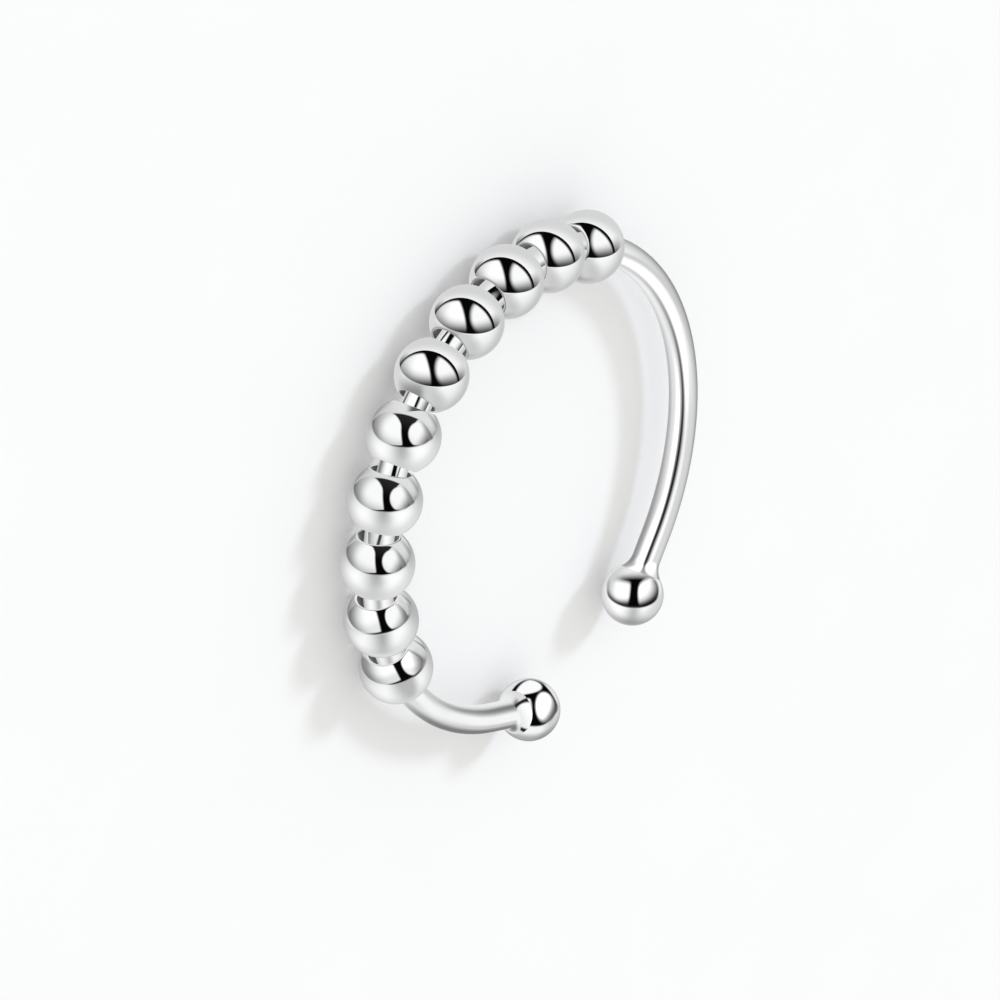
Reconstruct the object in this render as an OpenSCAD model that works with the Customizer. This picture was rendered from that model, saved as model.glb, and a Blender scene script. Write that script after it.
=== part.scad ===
/* [Wire band] */
// Radius of the circle that the wire's centre line follows
ring_r = 10; // [8:0.25:12]
// Diameter of the round wire
wire_d = 1.2; // [0.8:0.05:1.4]
// Angle of the circle left open between the two ends of the bend
opening_deg = 71; // [55:1:90]
// Length of straight wire between each end of the bend and the solder of its ball
straight_l = 1; // [0.4:0.05:1.2]

/* [Ball ends] */
// Diameter of the ball soldered to each end of the wire
ball_d = 2.6; // [2.2:0.1:3.2]
// Radius of the hollow fillet that the solder leaves between wire and ball
solder_r = 0.9; // [0.4:0.05:1.2]

/* [Beads] */
// Number of beads threaded on the wire
bead_count = 10; // [6:1:12]
// Diameter of a bead
bead_d = 3; // [2.6:0.1:3.4]
// How much wider the hole through a bead is than the wire
bead_play = 0.35; // [0.3:0.05:0.5]
// Rounding of the lip where the hole leaves the bead
bead_lip_r = 0.09; // [0.05:0.01:0.15]
// Smallest gap between two beads, where their lips face each other inside the ring
bead_gap = 0.04; // [0.02:0.01:0.4]
// How far the row of beads lies round from the middle of the bend, towards the left end
row_slide_deg = 29.2; // [-30:0.2:30]

/* [Hidden] */
$fn = 128;

wire_r = wire_d / 2;
ball_r = ball_d / 2;
bead_r = bead_d / 2;
hole_r = wire_r + bead_play / 2;

// The opening faces -Y, so each half of the bend runs from its end there round to the back at +Y
bend_start_deg = -90 + opening_deg / 2;
half_bend_deg = 180 - opening_deg / 2;

// The solder's fillet is an arc tangent to the wire and to the ball, about a centre this far out from the
// wire's axis and this far along it from the ball's centre
solder_x = wire_r + solder_r;
solder_y = sqrt(pow(ball_r + solder_r, 2) - pow(solder_x, 2));

// Centre of the lip's rounding in a bead's half section, which is tangent to the hole and to the round outside
lip_x = hole_r + bead_lip_r;
lip_y = sqrt(pow(bead_r - bead_lip_r, 2) - pow(lip_x, 2));

// Two beads lie closest inside the ring, where each lip stays half a gap short of the plane midway between them
lip_deg = atan2(lip_y, ring_r - lip_x);
lip_spare_deg = asin((bead_lip_r + bead_gap / 2) / norm([ring_r - lip_x, lip_y]));
bead_pitch_deg = 2 * (lip_deg + lip_spare_deg);

// Name of bead k, counted from the right end of the wire
function bead_name(k) = str("bead_", k < 10 ? "0" : "", k);

// Direction of bead k from the middle of the ring, counted from +X towards +Y
function bead_deg(k) = 90 + row_slide_deg + (k - (bead_count + 1) / 2) * bead_pitch_deg;

// Half section of the solder round the wire, whose tip lies inside the ball
module solder_half_section() {
    difference() {
        polygon([[0, 0], [solder_x, solder_y], [0, solder_y]]);
        translate([solder_x, solder_y])
            circle(r = solder_r);
    }
}

// A ball at the origin with its solder and straight wire along +Z
module ball_end() {
    sphere(r = ball_r);
    rotate_extrude()
        solder_half_section();
    cylinder(r = wire_r, h = solder_y + straight_l);
}

// The bend from +X, a little over half of it, with its straight end and ball
module bend_and_end() {
    past_back_deg = 2;
    rotate_extrude(angle = half_bend_deg + past_back_deg)
        translate([ring_r, 0])
            circle(r = wire_r);
    translate([ring_r, -solder_y - straight_l, 0])
        rotate([-90, 0, 0])
            ball_end();
}

// The right half of the band, cut square at the back where the halves meet
module half_band() {
    difference() {
        rotate([0, 0, bend_start_deg])
            bend_and_end();
        translate([-ring_r, 0, -wire_d])
            cube([ring_r, 2 * ring_r, 2 * wire_d]);
    }
}

// Wire and soldered balls are one piece of metal, alike on both sides of the YZ plane
module band() {
    color("silver")
        for (side = [0, 1])
            mirror([side, 0, 0])
                half_band();
}

// Corner of a bead's half section that its rounded lip replaces
module lip_corner() {
    polygon([[lip_x, lip_y], [0, lip_y], [0, bead_d], [2 * lip_x, 2 * lip_y]]);
}

// Half section of a bead, with its hole along Y
module bead_half_section() {
    difference() {
        circle(r = bead_r);
        translate([-bead_d, -bead_d])
            square([bead_d + hole_r, 2 * bead_d]);
        for (end = [0, 1])
            mirror([0, end])
                lip_corner();
    }
    for (end = [0, 1])
        mirror([0, end])
            intersection() {
                translate([lip_x, lip_y])
                    circle(r = bead_lip_r);
                lip_corner();
            }
}

// Bead k in its place on the wire
module bead(k) {
    color("gainsboro")
        rotate([0, 0, bead_deg(k)])
            translate([ring_r, 0, 0])
                rotate([90, 0, 0])
                    rotate_extrude()
                        bead_half_section();
}

band();
for (k = [1 : bead_count])
    bead(k);
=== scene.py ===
"""A spinner ring of polished silver: an open band with a ball on each end, and ten loose beads on it."""

import logging
import math
from dataclasses import dataclass
from enum import Enum
from typing import Any, Sequence

import bpy
from mathutils import Matrix, Vector


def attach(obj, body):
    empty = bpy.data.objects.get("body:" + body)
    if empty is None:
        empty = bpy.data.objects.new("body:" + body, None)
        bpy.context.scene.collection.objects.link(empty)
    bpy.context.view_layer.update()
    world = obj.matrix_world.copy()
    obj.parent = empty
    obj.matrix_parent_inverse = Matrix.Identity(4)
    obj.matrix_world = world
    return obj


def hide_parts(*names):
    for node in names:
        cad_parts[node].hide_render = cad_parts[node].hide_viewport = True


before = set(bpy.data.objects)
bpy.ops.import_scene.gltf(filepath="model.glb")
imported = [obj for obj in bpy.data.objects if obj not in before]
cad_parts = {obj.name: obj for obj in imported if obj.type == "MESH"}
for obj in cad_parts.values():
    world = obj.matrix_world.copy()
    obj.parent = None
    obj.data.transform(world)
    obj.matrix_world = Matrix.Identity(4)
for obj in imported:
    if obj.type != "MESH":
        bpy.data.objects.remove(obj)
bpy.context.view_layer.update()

LOG = logging.getLogger("spinner_ring")

# A millimetre in metres
MM = 0.001

# How near two points or two angles are taken as the same, in metres and radians
SAME_POINT = 1e-6
SAME_ANGLE = 1e-6
DOUBLES = 1e-7
ON_THE_CUT = 1e-8

# Places of a Mix node's colours among its sockets, whose names aren't unique
COLOUR_A = 6
COLOUR_B = 7
MIXED_COLOUR = 2

Triple = tuple[float, float, float]
Profile = list[tuple[float, float]]


class Slot(Enum):
    """The record's material slots."""

    BAND = "band_silver"
    BEAD = "bead_silver"


def linear(hex_code: str) -> tuple[float, float, float, float]:
    """Turns an sRGB colour to the linear one that the shaders use.

    Args:
        hex_code: The colour as six hexadecimal digits, red first.

    Returns:
        Linear red, green and blue, and an alpha of one.
    """
    shares = [int(hex_code[i : i + 2], 16) / 255 for i in (0, 2, 4)]
    red, green, blue = [s / 12.92 if s <= 0.04045 else ((s + 0.055) / 1.055) ** 2.4 for s in shares]
    return red, green, blue, 1.0


def add_node(
    tree: bpy.types.NodeTree,
    kind: str,
    settings: dict[str, Any] | None = None,
    inputs: dict[int | str, Any] | None = None,
) -> bpy.types.Node:
    """Adds a node with its settings, and sets or links its inputs.

    Args:
        tree: The node tree that gets the node.
        kind: Blender's name for the node.
        settings: The node's own properties and their values.
        inputs: Numbers, colours or other nodes' outputs, by the input's name or place.

    Returns:
        The new node.
    """
    node = tree.nodes.new(kind)
    for name, value in (settings or {}).items():
        setattr(node, name, value)
    for key, value in (inputs or {}).items():
        if isinstance(value, bpy.types.NodeSocket):
            tree.links.new(value, node.inputs[key])
        else:
            node.inputs[key].default_value = value
    return node


def clouds(
    tree: bpy.types.NodeTree, place: bpy.types.NodeSocket, size_mm: float, detail: float
) -> bpy.types.NodeSocket:
    """Adds a cloudy pattern.

    Args:
        tree: The node tree that gets the pattern.
        place: The painted point, in the object's own space.
        size_mm: How wide a cloud is, roughly.
        detail: How many finer patterns are laid over the clouds.

    Returns:
        The pattern's value, between zero and one.
    """
    inputs = {"Vector": place, "Scale": 1 / (size_mm * MM), "Detail": detail}
    return add_node(tree, "ShaderNodeTexNoise", inputs=inputs).outputs[0]


def blend(
    tree: bpy.types.NodeTree, share: bpy.types.NodeSocket, first: str, second: str
) -> bpy.types.NodeSocket:
    """Mixes two colours.

    Args:
        tree: The node tree that gets the mix.
        share: The second colour's share.
        first: The first colour as six hexadecimal digits.
        second: The second colour, given likewise.

    Returns:
        The mixed colour.
    """
    inputs = {"Factor": share, COLOUR_A: linear(first), COLOUR_B: linear(second)}
    return add_node(tree, "ShaderNodeMix", {"data_type": "RGBA"}, inputs).outputs[MIXED_COLOUR]


def rescale(
    tree: bpy.types.NodeTree,
    value: bpy.types.NodeSocket,
    limits: tuple[float, float],
    results: tuple[float, float],
    smooth: bool = False,
) -> bpy.types.NodeSocket:
    """Maps a range of values to another one, and takes values past its limits as the limits.

    Args:
        tree: The node tree that gets the node.
        value: The value to map.
        limits: The limits of its range.
        results: What these limits are mapped to.
        smooth: Whether the course between them eases in and out.

    Returns:
        The mapped value.
    """
    settings = {"interpolation_type": "SMOOTHSTEP" if smooth else "LINEAR"}
    inputs = dict(zip(("From Min", "From Max", "To Min", "To Max"), (*limits, *results)))
    return add_node(tree, "ShaderNodeMapRange", settings, {"Value": value, **inputs}).outputs[0]


def deselect_all() -> None:
    """Clears the selection, so that the next operator acts on nothing else."""
    for shown in list(bpy.context.selected_objects):
        shown.select_set(False)


def select_ring(obj: bpy.types.Object, centre: Vector, axis: Vector, radius: float) -> None:
    """Selects the vertices of one ring of a turned shape, in edit mode.

    Args:
        obj: The object being edited.
        centre: The middle of the ring.
        axis: The direction that the ring lies square to.
        radius: The ring's radius.
    """
    bpy.ops.mesh.select_mode(type="VERT")
    bpy.ops.mesh.select_all(action="DESELECT")
    bpy.ops.object.mode_set(mode="OBJECT")
    for vertex in obj.data.vertices:
        arm = vertex.co - centre
        vertex.select = abs(arm.dot(axis)) < SAME_POINT and abs(arm.length - radius) < SAME_POINT
    bpy.ops.object.mode_set(mode="EDIT")


def extrude_rings(start: Vector, axis: Vector, profile: Sequence[tuple[float, float]]) -> None:
    """Extrudes the selected ring along an axis, ring by ring, each scaled to its radius.

    Args:
        start: The point on the axis that the profile's distances start from.
        axis: The direction in which the distances grow.
        profile: Distance and radius of the selected ring, and then of each ring that follows it.
    """
    for (was_at, was_radius), (at, radius) in zip(profile, profile[1:]):
        bpy.ops.mesh.extrude_region_move(TRANSFORM_OT_translate={"value": axis * (at - was_at)})
        bpy.ops.transform.resize(value=(radius / was_radius,) * 3, center_override=start + axis * at)


def arc(centre: tuple[float, float], radius: float, first: float, last: float, steps: int) -> Profile:
    """Points on an arc of a profile.

    Args:
        centre: Distance along the axis and radius of the arc's centre.
        radius: The arc's own radius.
        first: Angle of the first point, from the axis towards growing radius.
        last: Angle of the last point.
        steps: Number of steps from the first point to the last.

    Returns:
        Distance and radius of each point, both ends among them.
    """
    angles = [first + (last - first) * i / steps for i in range(steps + 1)]
    return [(centre[0] + radius * math.cos(a), centre[1] + radius * math.sin(a)) for a in angles]


@dataclass(frozen=True)
class PolishedSilver:
    """Sterling silver polished on a felt wheel: a neutral mirror, faintly wavy as the wheel leaves it."""

    name: str
    light_tone: str = "FEFEFE"
    deep_tone: str = "F6F7F8"
    smoothest: float = 0.012
    roughest: float = 0.05
    haze_from: float = 0.35
    haze_to: float = 0.8
    tone_size_mm: float = 1.4
    haze_size_mm: float = 0.5
    wave_size_mm: float = 0.35
    wave_height_mm: float = 0.00008

    def material(self) -> bpy.types.Material:
        """Makes the material.

        Returns:
            A mirror whose tone, roughness and height vary a little over the piece.
        """
        made = bpy.data.materials.new(self.name)
        made.use_nodes = True
        tree = made.node_tree
        shader = tree.nodes["Principled BSDF"]
        shader.inputs["Metallic"].default_value = 1.0
        place = add_node(tree, "ShaderNodeTexCoord").outputs["Object"]
        # Polish leaves the metal a shade brighter in some places than in others
        tone = clouds(tree, place, self.tone_size_mm, 2.0)
        colour = blend(tree, tone, self.deep_tone, self.light_tone)
        # Fine haze where the last compound was wiped off
        haze = clouds(tree, place, self.haze_size_mm, 4.0)
        rough = rescale(tree, haze, (self.haze_from, self.haze_to), (self.smoothest, self.roughest))
        # Waviness of less than a tenth of a micrometre, which bends a sharp reflection only a little
        wave = clouds(tree, place, self.wave_size_mm, 1.0)
        height = {"Strength": 1.0, "Distance": self.wave_height_mm * MM, "Height": wave}
        bump = add_node(tree, "ShaderNodeBump", inputs=height).outputs[0]
        tree.links.new(colour, shader.inputs["Base Color"])
        tree.links.new(rough, shader.inputs["Roughness"])
        tree.links.new(bump, shader.inputs["Normal"])
        return made


@dataclass(frozen=True)
class BoreSilverWithPaintedShade:
    """Silver in a bead's bore: less shiny, out of the felt wheel's reach, and painted dark as shade."""

    name: str
    # The dark tones are painted shade, standing in for the shade deep in the narrow bore
    light_tone: str = "6E6F70"
    deep_tone: str = "262728"
    smoothest: float = 0.22
    roughest: float = 0.38
    groove_from: float = 0.3
    groove_to: float = 0.7
    groove_size_mm: float = 0.12

    def material(self) -> bpy.types.Material:
        """Makes the material.

        Returns:
            A dull metal painted dark as the bore's shade, whose tone and roughness vary with the drill's
            grooves.
        """
        made = bpy.data.materials.new(self.name)
        made.use_nodes = True
        tree = made.node_tree
        shader = tree.nodes["Principled BSDF"]
        shader.inputs["Metallic"].default_value = 1.0
        place = add_node(tree, "ShaderNodeTexCoord").outputs["Object"]
        groove = clouds(tree, place, self.groove_size_mm, 3.0)
        # Painted shade of the bore, mottled at random by the grooves
        colour = blend(tree, groove, self.deep_tone, self.light_tone)
        rough = rescale(tree, groove, (self.groove_from, self.groove_to), (self.smoothest, self.roughest))
        tree.links.new(colour, shader.inputs["Base Color"])
        tree.links.new(rough, shader.inputs["Roughness"])
        return made


@dataclass
class Band:
    """The open band: round wire bent nearly to a circle, with a ball soldered to each end. Sizes are in mm.

    It is one piece of metal. It is modelled as lengths that meet square, out of sight inside beads or part
    of the way down the solder, because the photographer lit the balls and the two ends of the wire apart.
    """

    finish: PolishedSilver
    joins: tuple[float, ...]
    ring_r: float = 10.0
    wire_r: float = 0.6
    opening_deg: float = 71.0
    straight: float = 1.0
    ball_r: float = 1.3
    solder_r: float = 0.9
    around: int = 96
    bend_step_deg: float = 0.8
    ball_steps: int = 56
    ball_tip_deg: float = 1.2
    solder_steps: int = 20
    wire_solder_steps: int = 8

    def bend_end(self, side: int) -> tuple[float, Vector, Vector]:
        """One end of the bend.

        Args:
            side: 1 for the right end and -1 for the left one.

        Returns:
            Its angle round the ring, its place, and the direction in which the wire goes on from it.
        """
        angle = math.radians(90 - side * (180 - self.opening_deg / 2))
        place = Vector((math.cos(angle), math.sin(angle), 0.0)) * self.ring_r * MM
        outward = Vector((side * math.sin(angle), -side * math.cos(angle), 0.0))
        return angle, place, outward

    def profiles(self) -> tuple[Profile, Profile]:
        """Works out the turned shapes at an end of the wire.

        Returns:
            Distance past the straight wire, and radius, in metres, over the solder's hollow fillet and then
            over the ball.
        """
        solder_x = self.wire_r + self.solder_r
        solder_y = math.sqrt((self.ball_r + self.solder_r) ** 2 - solder_x**2)
        meet = math.atan2(solder_x, -solder_y)
        tip = math.radians(self.ball_tip_deg)
        solder = arc((0.0, solder_x), self.solder_r, math.radians(-90), meet - math.pi, self.solder_steps)
        ball = arc((solder_y, 0.0), self.ball_r, meet, tip, self.ball_steps)
        return [(at * MM, r * MM) for at, r in solder], [(at * MM, r * MM) for at, r in ball]

    def start_ring(self, name: str, place: Vector, angle: float, radius: float) -> bpy.types.Object:
        """Adds a ring round the wire's centre line, in edit mode and selected.

        Args:
            name: The piece's name.
            place: The middle of the ring.
            angle: Where that is round the band, or which way a straight end points.
            radius: The ring's radius in metres.

        Returns:
            The piece that starts with the ring.
        """
        deselect_all()
        bpy.ops.mesh.primitive_circle_add(
            vertices=self.around, radius=radius, location=place, rotation=(math.pi / 2, 0.0, angle)
        )
        piece = bpy.context.object
        piece.name = piece.data.name = name
        bpy.ops.object.transform_apply(location=True, rotation=True, scale=True)
        bpy.ops.object.mode_set(mode="EDIT")
        bpy.ops.mesh.select_all(action="SELECT")
        return piece

    def cap(self, piece: bpy.types.Object, place: Vector, axis: Vector, radius: float) -> None:
        """Closes an end of a piece with a flat face, whose marked edge doesn't bend the shading.

        Args:
            piece: The piece, in edit mode.
            place: The middle of its end.
            axis: The direction that the end lies square to.
            radius: The end's radius in metres.
        """
        select_ring(piece, place, axis, radius)
        bpy.ops.mesh.edge_face_add()
        bpy.ops.mesh.mark_sharp()

    def finish_piece(self, piece: bpy.types.Object) -> bpy.types.Object:
        """Merges doubles, turns faces outward, shades the piece smooth, and dresses it on its body.

        Args:
            piece: The piece, in edit mode.

        Returns:
            The same piece, in object mode.
        """
        bpy.ops.mesh.select_all(action="SELECT")
        bpy.ops.mesh.remove_doubles(threshold=DOUBLES)
        bpy.ops.mesh.normals_make_consistent(inside=False)
        bpy.ops.object.mode_set(mode="OBJECT")
        bpy.ops.object.shade_smooth()
        piece.data.materials.append(self.finish.material())
        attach(piece, "band")
        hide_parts("band")
        LOG.info("%s: %d faces", piece.name, len(piece.data.polygons))
        return piece

    def solder(self, name: str, side: int) -> bpy.types.Object:
        """Draws out the solder's fillet, from where the wire's piece leaves off to the ball.

        Args:
            name: The piece's name.
            side: 1 for the right end and -1 for the left one.

        Returns:
            The solder, closed where it meets the wire and the ball.
        """
        angle, end, outward = self.bend_end(side)
        start = end + outward * self.straight * MM
        profile = self.profiles()[0][self.wire_solder_steps :]
        at, radius = profile[0]
        piece = self.start_ring(name, start + outward * at, angle, radius)
        extrude_rings(start, outward, profile)
        for at, radius in (profile[0], profile[-1]):
            self.cap(piece, start + outward * at, outward, radius)
        return self.finish_piece(piece)

    def ball(self, name: str, side: int) -> bpy.types.Object:
        """Turns a ball from the circle where the solder touches it.

        Args:
            name: The piece's name.
            side: 1 for the right end and -1 for the left one.

        Returns:
            The ball, closed where it meets the solder.
        """
        angle, end, outward = self.bend_end(side)
        start = end + outward * self.straight * MM
        profile = self.profiles()[1]
        at, radius = profile[0]
        piece = self.start_ring(name, start + outward * at, angle, radius)
        extrude_rings(start, outward, profile)
        bpy.ops.mesh.merge(type="CENTER")
        self.cap(piece, start + outward * at, outward, radius)
        return self.finish_piece(piece)

    def wire(self, name: str, first: float, last: float) -> bpy.types.Object:
        """Bends one length of the wire. At an end of the bend, draws it out straight and on into the solder.

        Args:
            name: The piece's name.
            first: Angle at which the length starts.
            last: Angle at which it ends, which is larger.

        Returns:
            The length of wire, closed at both ends.
        """
        place = Vector((math.cos(first), math.sin(first), 0.0)) * self.ring_r * MM
        radius = self.wire_r * MM
        piece = self.start_ring(name, place, first, radius)
        steps = max(2, round((last - first) / math.radians(self.bend_step_deg)))
        bpy.ops.mesh.spin(steps=steps, angle=first - last, center=(0, 0, 0), axis=(0, 0, 1))
        solder = self.profiles()[0][: self.wire_solder_steps + 1]
        drawn = [(0.0, radius)] + [(self.straight * MM + at, wide) for at, wide in solder]
        for angle in (first, last):
            end = Vector((math.cos(angle), math.sin(angle), 0.0)) * self.ring_r * MM
            axis = Vector((-math.sin(angle), math.cos(angle), 0.0))
            end_radius = radius
            for side in (1, -1):
                bend_angle, bend_place, outward = self.bend_end(side)
                if abs(angle - bend_angle) < SAME_ANGLE:
                    select_ring(piece, bend_place, outward, radius)
                    extrude_rings(bend_place, outward, drawn)
                    end = bend_place + outward * drawn[-1][0]
                    end_radius = drawn[-1][1]
            self.cap(piece, end, axis, end_radius)
        return self.finish_piece(piece)

    def build(self) -> dict[str, bpy.types.Object]:
        """Models the balls, their solder and every length of wire between them.

        Returns:
            The pieces by name, from the right end of the wire to the left one.
        """
        right, left = self.bend_end(1)[0], self.bend_end(-1)[0]
        stops = [right, *self.joins, left]
        names = [f"polished_wire_{part}" for part in ("right", "row_upper", "row_lower", "left")]
        pieces = [self.ball("polished_ball_right", 1), self.solder("polished_solder_right", 1)]
        pieces += [self.wire(name, first, last) for name, first, last in zip(names, stops, stops[1:])]
        pieces += [self.solder("polished_solder_left", -1), self.ball("polished_ball_left", -1)]
        return {piece.name: piece for piece in pieces}


@dataclass
class BeadRow:
    """The ten beads threaded on the wire, each bored and rounded at its lips. Sizes are in mm."""

    finish: PolishedSilver
    bore_painted_shade: BoreSilverWithPaintedShade
    count: int = 10
    ring_r: float = 10.0
    bead_r: float = 1.5
    hole_r: float = 0.775
    lip_r: float = 0.09
    gap: float = 0.04
    slide_deg: float = 29.2
    around: int = 96
    rings: int = 64
    lip_steps: int = 10
    # Share of each lip, from the hole outwards, that gets the bore's painted shade
    painted_shade_share_of_lip: float = 0.3

    def lip_centre(self) -> tuple[float, float]:
        """Distance along the bead's axis and radius of the centre of its lip's rounding, in mm."""
        radius = self.hole_r + self.lip_r
        return math.sqrt((self.bead_r - self.lip_r) ** 2 - radius**2), radius

    def pitch(self) -> float:
        """Works out how far apart two beads lie on the wire when they lie together.

        Returns:
            The angle between them round the ring, in radians.
        """
        at, radius = self.lip_centre()
        inner = self.ring_r - radius
        return 2 * (math.atan2(at, inner) + math.asin((self.lip_r + self.gap / 2) / math.hypot(inner, at)))

    def place(self, number: int) -> float:
        """Angle of a bead round the ring, in radians. Beads are counted from the right end of the wire."""
        return math.radians(90 + self.slide_deg) + (number - (self.count + 1) / 2) * self.pitch()

    def model(self) -> bpy.types.Object:
        """Turns one bead, with its hole along Y, in the middle of the frame.

        Returns:
            The bead, with both lips rounded and its hole closed by a wall.
        """
        at, radius = self.lip_centre()
        reach = math.hypot(at, radius)
        cut = at * self.bead_r / reach
        deselect_all()
        bpy.ops.mesh.primitive_uv_sphere_add(
            segments=self.around,
            ring_count=self.rings,
            radius=self.bead_r * MM,
            rotation=(math.pi / 2, 0.0, 0.0),
        )
        bead = bpy.context.object
        bpy.ops.object.transform_apply(location=True, rotation=True, scale=True)
        bpy.ops.object.mode_set(mode="EDIT")
        # The sphere ends where the rounding of each lip starts
        for side in (1.0, -1.0):
            bpy.ops.mesh.select_all(action="SELECT")
            bpy.ops.mesh.bisect(
                plane_co=(0, side * cut * MM, 0),
                plane_no=(0, side, 0),
                clear_outer=True,
                threshold=ON_THE_CUT,
            )
        # The rounding rolls each edge over into the hole
        lip = arc((at, radius), self.lip_r, math.atan2(radius, at), math.radians(-90), self.lip_steps)
        lip = [(along * MM, out * MM) for along, out in lip]
        middle = Vector((0, 0, 0))
        for side in (1.0, -1.0):
            axis = Vector((0, side, 0))
            select_ring(bead, axis * lip[0][0], axis, lip[0][1])
            extrude_rings(middle, axis, lip)
        # The hole's wall joins the two lips
        bpy.ops.object.mode_set(mode="OBJECT")
        wall = at * MM
        for vertex in bead.data.vertices:
            on_hole = abs(math.hypot(vertex.co.x, vertex.co.z) - self.hole_r * MM) < SAME_POINT
            vertex.select = on_hole and abs(abs(vertex.co.y) - wall) < SAME_POINT
        bpy.ops.object.mode_set(mode="EDIT")
        bpy.ops.mesh.bridge_edge_loops()
        bpy.ops.mesh.select_all(action="SELECT")
        bpy.ops.mesh.remove_doubles(threshold=DOUBLES)
        bpy.ops.mesh.normals_make_consistent(inside=False)
        bpy.ops.object.mode_set(mode="OBJECT")
        bpy.ops.object.shade_smooth()
        return bead

    def build(self) -> dict[int, bpy.types.Object]:
        """Models one bead, copies it along the wire, and dresses each copy.

        Returns:
            The beads by number, counted from the right end of the wire.
        """
        beads = {}
        pattern = self.model()
        pattern.data.materials.append(self.finish.material())
        pattern.data.materials.append(self.bore_painted_shade.material())
        painted_shade_r = (self.hole_r + self.painted_shade_share_of_lip * self.lip_r) * MM
        # The hole's wall and the inner part of each lip get the material with the bore's painted shade
        for face in pattern.data.polygons:
            face.material_index = int(math.hypot(face.center.x, face.center.z) < painted_shade_r)
        for number in range(1, self.count + 1):
            deselect_all()
            pattern.select_set(True)
            bpy.context.view_layer.objects.active = pattern
            bpy.ops.object.duplicate(linked=False)
            bead = bpy.context.object
            body = f"bead_{number:02d}"
            bead.name = bead.data.name = f"polished_{body}"
            angle = self.place(number)
            bead.location = Vector((math.cos(angle), math.sin(angle), 0.0)) * self.ring_r * MM
            bead.rotation_euler = (0.0, 0.0, angle)
            bpy.ops.object.transform_apply(location=True, rotation=True, scale=True)
            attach(bead, body)
            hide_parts(body)
            beads[number] = bead
            faces = len(bead.data.polygons)
            LOG.info("%s: at %.2f degrees, %d faces", bead.name, math.degrees(angle), faces)
        bpy.data.objects.remove(pattern)
        return beads


@dataclass(frozen=True)
class Ramp:
    """A value that changes with the angle off an aim: low at the first angle, and high at the last one.

    All angles are in degrees. The aim's bearing is to the right of where the photographer looks, and its
    tilt is above it.
    """

    bearing: float
    tilt: float
    first: float
    last: float
    low: float = 0.0
    high: float = 1.0


@dataclass(frozen=True)
class Card:
    """A lit or dark sheet of the studio, bounded and shaded by ramps that are multiplied together."""

    name: str
    brightness: float
    cover: tuple[Ramp, ...] = ()
    shading: tuple[Ramp, ...] = ()


@dataclass
class PhotographersEye:
    """Where the photograph was taken from, round a point near the ring's middle.

    The camera's bearing runs from X towards Y, its height is above the level, and its roll turns it
    clockwise. The roll is large because the photographed ring stands on its edge, and this one lies flat.
    """

    looks_at: Triple = (-1.2, -0.17, -0.89)
    distance_mm: float = 310.1
    bearing_deg: float = 126.75
    height_deg: float = 33.35
    roll_deg: float = -110.35
    lens_mm: float = 275.7
    sensor_mm: float = 36.0
    sees_from_mm: float = 10.0
    sees_to_mm: float = 2000.0

    def axes(self) -> tuple[Vector, Vector, Vector]:
        """Works out how the camera stands.

        Returns:
            The photographer's right, down and away, as unit vectors.
        """
        bearing, height = math.radians(self.bearing_deg), math.radians(self.height_deg)
        level = math.cos(height)
        away = -Vector((level * math.cos(bearing), level * math.sin(bearing), math.sin(height)))
        roll = Matrix.Rotation(math.radians(self.roll_deg), 3, away)
        right = roll @ Vector((-math.sin(bearing), math.cos(bearing), 0.0))
        return right, away.cross(right), away

    def aim(self, bearing_deg: float, tilt_deg: float) -> Vector:
        """Works out a direction of the studio.

        Args:
            bearing_deg: How many degrees it lies to the right of where the camera looks.
            tilt_deg: How many degrees it lies above that.

        Returns:
            The direction as a unit vector.
        """
        right, down, away = self.axes()
        bearing, tilt = math.radians(bearing_deg), math.radians(tilt_deg)
        ahead = right * math.sin(bearing) + away * math.cos(bearing)
        return ahead * math.cos(tilt) - down * math.sin(tilt)

    def build(self) -> None:
        """Makes the camera."""
        lens = bpy.data.cameras.new("photographer")
        lens.sensor_width = self.sensor_mm
        lens.lens = self.lens_mm
        lens.clip_start = self.sees_from_mm * MM
        lens.clip_end = self.sees_to_mm * MM
        camera = bpy.data.objects.new("photographer", lens)
        right, down, away = self.axes()
        place = Vector(self.looks_at) - away * self.distance_mm
        turn = Matrix((right, -down, -away)).transposed().to_4x4()
        camera.matrix_world = Matrix.Translation(place * MM) @ turn
        bpy.context.scene.collection.objects.link(camera)
        bpy.context.scene.camera = camera
        LOG.info("camera: lens %.1f mm", self.lens_mm)


class Mirrors(Enum):
    """Which set of cards a piece mirrors, because the photographer lit the ring part by part."""

    UPPER_ROW = "upper_row"
    MIDDLE_ROW = "middle_row"
    NINTH_BEAD = "ninth_bead"
    TENTH_BEAD = "tenth_bead"
    RIGHT_WIRE = "right_wire"
    RIGHT_BALL = "right_ball"
    LEFT_WIRE = "left_wire"
    LEFT_BALL = "left_ball"


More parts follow.
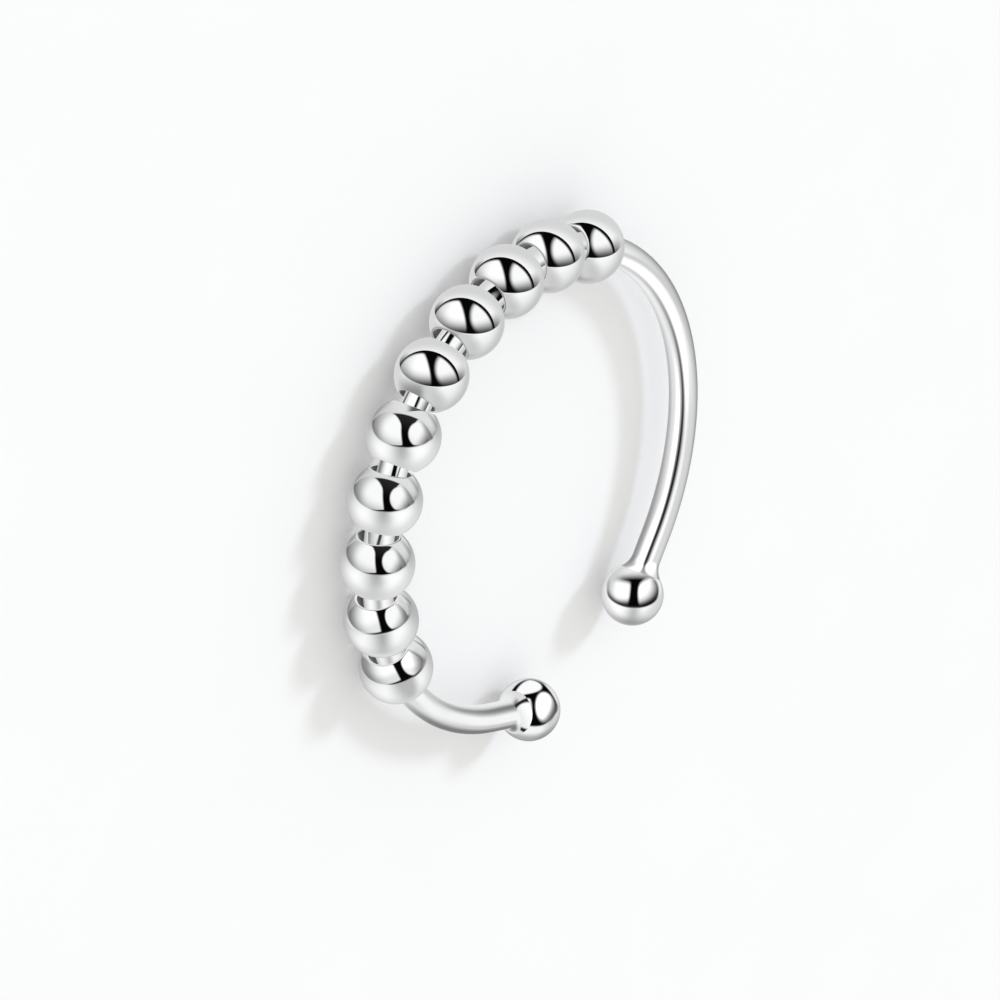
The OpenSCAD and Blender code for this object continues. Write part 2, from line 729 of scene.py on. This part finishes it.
# The cards hang where the photographed silver mirrors them. Each set is painted from its first card to its
# last one. A card covers what lies under it as far as its first ramps say, and its other ramps shade it.
CARD_SETS: dict[Mirrors, tuple[Card, ...]] = {
    # Two softboxes side by side, a dark arc over them and the white table below
    Mirrors.UPPER_ROW: (
        Card(
            "tent",
            0.98,
            (),
            (
                Ramp(10, 40, 75, 25, 1.0, 0.7),
                Ramp(-83, -12, 60, 33, 1.0, 0.0),
                Ramp(80, -35, 60, 0, 1.0, 0.05),
            ),
        ),
        Card("dark_arc", 0.002, (Ramp(20, 30, 72, 73), Ramp(-10, -61, 81, 82))),
        Card(
            "left_softbox",
            1.05,
            (Ramp(28, 31, 80, 89), Ramp(-100, -8, 80, 72)),
            (Ramp(5, -70, 125, 75, 1.0, 0.0), Ramp(-25, -15, 110, 70, 1.0, 0.75)),
        ),
        Card(
            "right_softbox",
            1.0,
            (Ramp(26, 33, 74, 82), Ramp(119, 11, 54, 38)),
            (Ramp(5, -75, 110, 68, 1.0, 0.05),),
        ),
        Card(
            "white_table",
            1.1,
            (Ramp(-15, -61, 84, 82),),
            (
                Ramp(-100, -60, 70, 0, 1.0, 0.25),
                Ramp(-10, 10, 110, 45, 1.0, 0.65),
                Ramp(45, -40, 80, 0, 1.0, 0.8),
            ),
        ),
        Card(
            "bar_shade",
            0.65,
            (Ramp(0, -63, 79, 78), Ramp(100, -10, 112, 88), Ramp(93, -9, 23, 86), Ramp(0, 9, 45, 88)),
        ),
    ),
    # The same two softboxes with a dark strip between them, and seams of the tent to the right
    Mirrors.MIDDLE_ROW: (
        Card("tent", 0.77),
        Card("outer_seam", 0.1, (Ramp(-23, 59, 46, 44), Ramp(17, -2, 45, 46), Ramp(87, 3, 84, 67))),
        Card("inner_seam", 0.3, (Ramp(27, 8, 51, 12), Ramp(16, 30, 10, 36), Ramp(89, -15, 73, 63))),
        Card("panel_seam", 0.4, (Ramp(63, 25, 48, 35), Ramp(38, 37, 52, 58), Ramp(90, 0, 73, 53))),
        Card("outline", 0.02, (Ramp(11, -61, 76, 89), Ramp(21, 49, 59, 64), Ramp(113, 8, 35, 38))),
        Card(
            "bar",
            0.002,
            (Ramp(0, -62, 80, 84), Ramp(70, 64, 32, 92), Ramp(32, 35, 36, 41), Ramp(77, -7, 148, 106)),
        ),
        Card(
            "left_softbox",
            1.0,
            (Ramp(66, 2, 113, 118), Ramp(-75, -4, 101, 95), Ramp(15, -56, 95, 96)),
            (Ramp(0, -50, 133, 60, 1.0, 0.0), Ramp(0, -2, 125, 83, 1.0, 0.6)),
        ),
        Card(
            "right_softbox",
            1.0,
            (Ramp(66, 27, 39, 53), Ramp(132, 4, 36, 30), Ramp(-33, -54, 97, 101)),
            (Ramp(-90, -50, 113, 93, 1.0, 0.9), Ramp(72, -30, 70, 0, 1.0, 0.0)),
        ),
        Card(
            "white_table",
            1.05,
            (Ramp(-9, -58, 87, 82),),
            (Ramp(5, -10, 95, 41, 1.0, 0.75), Ramp(130, 86, 132, 28, 1.0, 0.3)),
        ),
        Card(
            "bar_shade",
            0.4,
            (Ramp(-13, -71, 76, 72), Ramp(99, 0, 155, 80), Ramp(98, 18, 53, 96), Ramp(69, 0, 43, 122)),
        ),
    ),
    # As the middle of the row, turned a little
    Mirrors.NINTH_BEAD: (
        Card("tent", 0.85),
        Card("outer_seam", 0.3, (Ramp(22, 15, 44, 29), Ramp(-6, 32, 29, 49))),
        Card("inner_seam", 0.45, (Ramp(37, 19, 66, 30), Ramp(25, 35, 0, 62), Ramp(98, 8, 78, 65))),
        Card("outline", 0.45, (Ramp(13, -65, 82, 86), Ramp(16, 53, 39, 45), Ramp(101, 35, 25, 27))),
        Card(
            "bar",
            0.002,
            (Ramp(23, -50, 70, 87), Ramp(-34, 70, 43, 61), Ramp(77, 44, 31, 39), Ramp(88, 2, 180, 107)),
        ),
        Card(
            "left_softbox",
            1.05,
            (Ramp(47, 42, 89, 94), Ramp(-94, -14, 82, 75), Ramp(27, -51, 89, 94)),
            (Ramp(55, -50, 130, 100, 1.0, 0.8), Ramp(-13, -18, 124, 54, 1.0, 0.2)),
        ),
        Card(
            "right_softbox",
            1.0,
            (Ramp(44, 39, 42, 49), Ramp(129, 10, 40, 35), Ramp(-19, -44, 107, 112)),
            (Ramp(18, -28, 121, 83, 1.0, 0.35), Ramp(45, 25, 72, 53, 1.0, 0.6)),
        ),
        Card(
            "white_table",
            0.65,
            (Ramp(18, -56, 82, 78),),
            (Ramp(105, -78, 97, 50, 1.0, 1.55), Ramp(19, -2, 93, 28, 1.0, 0.75)),
        ),
        Card(
            "bar_shade",
            0.4,
            (Ramp(14, -55, 87, 77), Ramp(99, 8, 147, 81), Ramp(83, 6, 56, 100), Ramp(6, 34, 64, 104)),
        ),
    ),
    # As the ninth bead, turned further
    Mirrors.TENTH_BEAD: (
        Card("tent", 0.82),
        Card("outer_seam", 0.25, (Ramp(17, 32, 34, 22), Ramp(-7, 37, 34, 44))),
        Card("inner_seam", 0.3, (Ramp(21, 28, 67, 25), Ramp(39, 58, 0, 58), Ramp(97, 21, 80, 63))),
        Card("outline", 0.65, (Ramp(34, -51, 87, 88), Ramp(11, 17, 47, 80), Ramp(100, 80, 28, 45))),
        Card(
            "bar",
            0.002,
            (Ramp(13, -25, 22, 101), Ramp(-115, 69, 39, 45), Ramp(36, 58, 42, 57), Ramp(104, 7, 141, 94)),
        ),
        Card(
            "left_softbox",
            1.05,
            (Ramp(-27, 78, 62, 70), Ramp(-90, -27, 89, 83), Ramp(35, -45, 80, 86)),
            (Ramp(44, -46, 117, 93, 1.0, 0.75), Ramp(-11, -12, 124, 64, 1.0, 0.3)),
        ),
        Card(
            "right_softbox",
            1.3,
            (Ramp(56, 55, 36, 47), Ramp(126, 13, 38, 32), Ramp(7, -46, 85, 90)),
            (Ramp(-55, -80, 110, 90, 1.0, 0.7), Ramp(65, 10, 73, 0, 1.0, 0.15)),
        ),
        Card(
            "white_table",
            0.5,
            (Ramp(15, -50, 75, 74),),
            (Ramp(95, -73, 112, 30, 1.0, 2.0), Ramp(8, -11, 74, 19, 1.0, 0.85)),
        ),
        Card(
            "bar_shade",
            0.5,
            (Ramp(22, -52, 76, 71), Ramp(105, 15, 132, 80), Ramp(67, 35, 60, 90), Ramp(27, 57, 42, 119)),
        ),
    ),
    # White all round, with one thin dark line
    Mirrors.RIGHT_WIRE: (
        Card(
            "tent",
            1.75,
            (),
            (
                Ramp(8, 44, 105, 35, 1.0, 0.3),
                Ramp(85, 46, 69, 36, 1.0, 2.8),
                Ramp(-66, -21, 102, 0, 1.0, 0.15),
                Ramp(-40, -52, 92, 37, 1.0, 2.9),
                Ramp(81, -21, 71, 26, 1.0, 0.4),
            ),
        ),
        Card("thin_line", 0.0, (Ramp(108, -17, 124, 66), Ramp(91, -13, 23, 83), Ramp(92, -24, 111, 90))),
    ),
    # Two softboxes in a soft dark frame
    Mirrors.RIGHT_BALL: (
        Card("tent", 0.9),
        Card("dark_cap", 0.002, (Ramp(-5, 64, 0, 61), Ramp(0, -20, 76, 82))),
        Card("left_haze", 0.65, (Ramp(129, 0, 98, 150), Ramp(20, 68, 77, 63), Ramp(2, -33, 59, 69))),
        Card("right_haze", 0.95, (Ramp(89, 8, 38, 30), Ramp(31, 63, 55, 42), Ramp(-2, 1, 67, 69))),
        Card(
            "left_softbox",
            1.05,
            (Ramp(-95, 7, 79, 68), Ramp(48, 57, 65, 87), Ramp(-9, -31, 65, 74)),
            (Ramp(30, -50, 122, 94, 1.0, 0.1), Ramp(-19, -13, 100, 68, 1.0, 0.65)),
        ),
        Card(
            "right_softbox",
            1.3,
            (Ramp(101, 0, 64, 53), Ramp(108, -33, 88, 69), Ramp(-2, -18, 62, 80)),
            (Ramp(-2, -44, 144, 81, 1.0, 0.1), Ramp(-18, 0, 96, 66, 1.0, 0.1)),
        ),
        Card("lower_rim", 0.002, (Ramp(3, -58, 96, 72), Ramp(0, -38, 71, 79))),
        Card(
            "white_table",
            1.05,
            (Ramp(-6, -54, 78, 70),),
            (Ramp(32, -23, 80, 0, 1.0, 0.65), Ramp(-21, -16, 70, 0, 1.0, 0.7)),
        ),
        Card(
            "bar_shade",
            0.25,
            (Ramp(-6, -49, 90, 71), Ramp(81, 0, 136, 71), Ramp(86, -9, 40, 93), Ramp(-15, 40, 45, 97)),
        ),
    ),
    # White, with a soft grey line above and shade below
    Mirrors.LEFT_WIRE: (
        Card("tent", 0.75, (), (Ramp(13, 10, 90, 12, 1.0, 1.15),)),
        Card("softbox", 0.95, (Ramp(74, -12, 57, 30),), (Ramp(7, -10, 58, 46, 1.0, 0.65),)),
        Card("soft_line", 0.0, (Ramp(52, 48, 48, 0, 0.0, 0.75), Ramp(-8, 42, 10, 49))),
        Card("lower_shade", 0.0, (Ramp(10, -34, 32, 0, 0.0, 0.75),)),
        Card(
            "far_softbox",
            1.05,
            (Ramp(125, -17, 70, 57), Ramp(31, -13, 57, 64)),
            (Ramp(31, -13, 127, 46, 1.0, 0.8),),
        ),
        Card("far_wall", 0.02, (Ramp(125, -17, 89, 82), Ramp(125, -17, 63, 73), Ramp(31, -13, 57, 64))),
    ),
    # Three softboxes in a hard dark frame
    Mirrors.LEFT_BALL: (
        Card("tent", 0.8),
        Card(
            "dark_frame",
            0.002,
            (Ramp(-20, -32, 32, 92), Ramp(35, 19, 11, 20), Ramp(41, -43, 36, 42), Ramp(-42, 2, 44, 48)),
        ),
        Card("top_softbox", 1.0, (Ramp(-41, 76, 43, 36), Ramp(-90, 0, 48, 53), Ramp(-51, 0, 58, 67))),
        Card(
            "left_softbox",
            1.0,
            (Ramp(38, 67, 63, 70), Ramp(-119, 0, 77, 68), Ramp(-12, -63, 77, 94)),
            (Ramp(-86, -35, 97, 22, 1.0, 0.0),),
        ),
        Card("right_softbox", 2.5, (Ramp(107, 6, 53, 33),), (Ramp(22, -35, 117, 53, 1.0, 0.05),)),
        Card(
            "white_table",
            0.95,
            (Ramp(-17, -47, 76, 66),),
            (Ramp(-3, -37, 54, 0, 1.0, 0.45), Ramp(54, 29, 95, 62, 1.0, 0.7)),
        ),
    ),
}


@dataclass
class Dome:
    """A wide dome of light round the ring, painted with a set of cards, which lights only some pieces."""

    eye: PhotographersEye
    mirrors: Mirrors
    radius_mm: float
    subdivisions: int = 5

    def ramp_value(
        self, tree: bpy.types.NodeTree, direction: bpy.types.NodeSocket, ramp: Ramp
    ) -> bpy.types.NodeSocket:
        """Adds the nodes of one ramp.

        Args:
            tree: The dome's node tree.
            direction: The direction of the painted point, seen from the ring.
            ramp: The ramp.

        Returns:
            The ramp's value in that direction.
        """
        aim = self.eye.aim(ramp.bearing, ramp.tilt)
        near = add_node(tree, "ShaderNodeVectorMath", {"operation": "DOT_PRODUCT"}, {0: direction, 1: aim})
        edges = (math.cos(math.radians(ramp.first)), math.cos(math.radians(ramp.last)))
        return rescale(tree, near.outputs["Value"], edges, (ramp.low, ramp.high), smooth=True)

    def product(
        self, tree: bpy.types.NodeTree, direction: bpy.types.NodeSocket, ramps: Sequence[Ramp], first: float
    ) -> bpy.types.NodeSocket | float:
        """Multiplies a number by some ramps.

        Args:
            tree: The dome's node tree.
            direction: The direction of the painted point, seen from the ring.
            ramps: The ramps.
            first: The number.

        Returns:
            The product, which is the number itself where there are no ramps.
        """
        total: bpy.types.NodeSocket | float = first
        for ramp in ramps:
            value = self.ramp_value(tree, direction, ramp)
            times = add_node(tree, "ShaderNodeMath", {"operation": "MULTIPLY"}, {0: total, 1: value})
            total = times.outputs[0]
        return total

    def material(self) -> bpy.types.Material:
        """Makes the dome's light, which lets every ray through to the domes outside it.

        Returns:
            The painted light.
        """
        light = bpy.data.materials.new(f"light_cards_{self.mirrors.value}")
        light.use_nodes = True
        tree = light.node_tree
        tree.nodes.clear()
        place = add_node(tree, "ShaderNodeTexCoord").outputs["Object"]
        direction = add_node(tree, "ShaderNodeVectorMath", {"operation": "NORMALIZE"}, {0: place}).outputs[0]
        seen: bpy.types.NodeSocket | float = 0.0
        for card in CARD_SETS[self.mirrors]:
            tone = self.product(tree, direction, card.shading, card.brightness)
            if card.cover:
                cover = self.product(tree, direction, card.cover, 1.0)
                over = add_node(
                    tree, "ShaderNodeMix", {"data_type": "FLOAT"}, {"Factor": cover, "A": seen, "B": tone}
                )
                tone = over.outputs[0]
            seen = tone
        glow = add_node(tree, "ShaderNodeEmission", inputs={"Color": linear("FFFFFF"), "Strength": seen})
        clear = add_node(tree, "ShaderNodeBsdfTransparent")
        both = add_node(tree, "ShaderNodeAddShader", inputs={0: glow.outputs[0], 1: clear.outputs[0]})
        add_node(tree, "ShaderNodeOutputMaterial", inputs={"Surface": both.outputs[0]})
        light.cycles.emission_sampling = "NONE"
        return light

    def build(self, pieces: Sequence[bpy.types.Object]) -> None:
        """Hangs the dome, which only mirrored rays find, and ties it to the pieces that it lights.

        The pieces are also taken out of each other's mirror images, as the photographed silver shows none.

        Args:
            pieces: The pieces that mirror this dome's cards.
        """
        deselect_all()
        bpy.ops.mesh.primitive_ico_sphere_add(subdivisions=self.subdivisions, radius=self.radius_mm * MM)
        dome = bpy.context.object
        dome.name = dome.data.name = f"dome_{self.mirrors.value}"
        dome.data.materials.append(self.material())
        dome.visible_camera = False
        dome.visible_diffuse = False
        dome.visible_shadow = False
        dome.visible_transmission = False
        dome.visible_volume_scatter = False
        receivers = bpy.data.collections.new(f"lit_by_{dome.name}")
        for piece in pieces:
            receivers.objects.link(piece)
            piece.visible_glossy = False
        dome.light_linking.receiver_collection = receivers
        LOG.info("%s: %d cards for %d pieces", dome.name, len(CARD_SETS[self.mirrors]), len(pieces))


@dataclass
class Studio:
    """The domes that the silver mirrors, the pale room and sheet, and the lamp that throws a shadow."""

    eye: PhotographersEye
    room_brightness: float = 0.9
    room_tone: str = "FFFFFD"
    innermost_mm: float = 1200.0
    between_domes_mm: float = 30.0
    floor_z: float = -1.5
    floor_side: float = 3000.0
    paper_light_tone: str = "F8F8F8"
    paper_deep_tone: str = "F6F6F6"
    paper_roughness: float = 0.9
    paper_grain_mm: float = 6.0
    lamp_strength: float = 0.85
    lamp_tone: str = "EDF1FF"
    lamp_angle_deg: float = 12.0
    lamp_from: Triple = (0.75, 0.12, 0.62)

    def light_room(self) -> None:
        """Makes the pale room. Its even light falls on the sheet, and mirrors see no light of it."""
        room = bpy.data.worlds.new("pale_room")
        bpy.context.scene.world = room
        room.use_nodes = True
        tree = room.node_tree
        ray = add_node(tree, "ShaderNodeLightPath")
        strength = add_node(
            tree,
            "ShaderNodeMix",
            {"data_type": "FLOAT"},
            {"Factor": ray.outputs["Is Glossy Ray"], "A": self.room_brightness, "B": 0.0},
        )
        background = tree.nodes["Background"]
        tree.links.new(strength.outputs[0], background.inputs["Strength"])
        background.inputs["Color"].default_value = linear(self.room_tone)

    def lay_floor(self) -> None:
        """Lays the matt pale sheet. The silver mirrors the white table of its own cards in its place."""
        deselect_all()
        bpy.ops.mesh.primitive_plane_add(size=self.floor_side * MM, location=(0, 0, self.floor_z * MM))
        floor = bpy.context.object
        floor.name = floor.data.name = "pale_sheet"
        bpy.ops.object.transform_apply(location=True, rotation=True, scale=True)
        paper = bpy.data.materials.new("matt_coated_paper")
        paper.use_nodes = True
        tree = paper.node_tree
        shader = tree.nodes["Principled BSDF"]
        shader.inputs["Roughness"].default_value = self.paper_roughness
        shader.inputs["Specular IOR Level"].default_value = 0.0
        place = add_node(tree, "ShaderNodeTexCoord").outputs["Object"]
        grain = clouds(tree, place, self.paper_grain_mm, 2.0)
        colour = blend(tree, grain, self.paper_deep_tone, self.paper_light_tone)
        tree.links.new(colour, shader.inputs["Base Color"])
        floor.data.materials.append(paper)
        floor.visible_glossy = False
        LOG.info("floor: at z %.2f mm", self.floor_z)

    def hang_lamp(self) -> None:
        """Hangs the lamp, far off to one side, so that the ring has a soft shadow."""
        light = bpy.data.lights.new("side_lamp", "SUN")
        light.energy = self.lamp_strength
        light.color = linear(self.lamp_tone)[:3]
        light.angle = math.radians(self.lamp_angle_deg)
        lamp = bpy.data.objects.new("side_lamp", light)
        lamp.rotation_mode = "QUATERNION"
        lamp.rotation_quaternion = Vector(self.lamp_from).to_track_quat("Z", "Y")
        lamp.visible_glossy = False
        bpy.context.scene.collection.objects.link(lamp)

    def build(self, lit: dict[Mirrors, list[bpy.types.Object]]) -> None:
        """Sets up the studio, and shows whites as white.

        Args:
            lit: The pieces that mirror each set of cards.
        """
        for place, (mirrors, pieces) in enumerate(lit.items()):
            Dome(self.eye, mirrors, self.innermost_mm + self.between_domes_mm * place).build(pieces)
        self.light_room()
        self.lay_floor()
        self.hang_lamp()
        bpy.context.scene.view_settings.view_transform = "Standard"


def main() -> None:
    """Builds the ring, its surroundings and the camera."""
    logging.basicConfig(level=logging.INFO, format="%(name)s: %(message)s")
    eye = PhotographersEye()
    row = BeadRow(
        PolishedSilver("polished_sterling_silver_bead"), BoreSilverWithPaintedShade("sterling_silver_bore_painted_shade")
    )
    # The wire is parted out of sight, inside beads 1, 6 and 10
    joins = (row.place(1), row.place(6), row.place(10))
    band = Band(PolishedSilver("polished_sterling_silver_band"), joins).build()
    beads = row.build()
    lit = {
        Mirrors.UPPER_ROW: [beads[number] for number in range(1, 6)] + [band["polished_wire_row_upper"]],
        Mirrors.MIDDLE_ROW: [beads[number] for number in range(6, 9)],
        Mirrors.NINTH_BEAD: [beads[9], band["polished_wire_row_lower"]],
        Mirrors.TENTH_BEAD: [beads[10]],
        Mirrors.RIGHT_WIRE: [band["polished_wire_right"], band["polished_solder_right"]],
        Mirrors.RIGHT_BALL: [band["polished_ball_right"]],
        Mirrors.LEFT_WIRE: [band["polished_wire_left"], band["polished_solder_left"]],
        Mirrors.LEFT_BALL: [band["polished_ball_left"]],
    }
    Studio(eye).build(lit)
    eye.build()


if __name__ == "__main__":
    main()
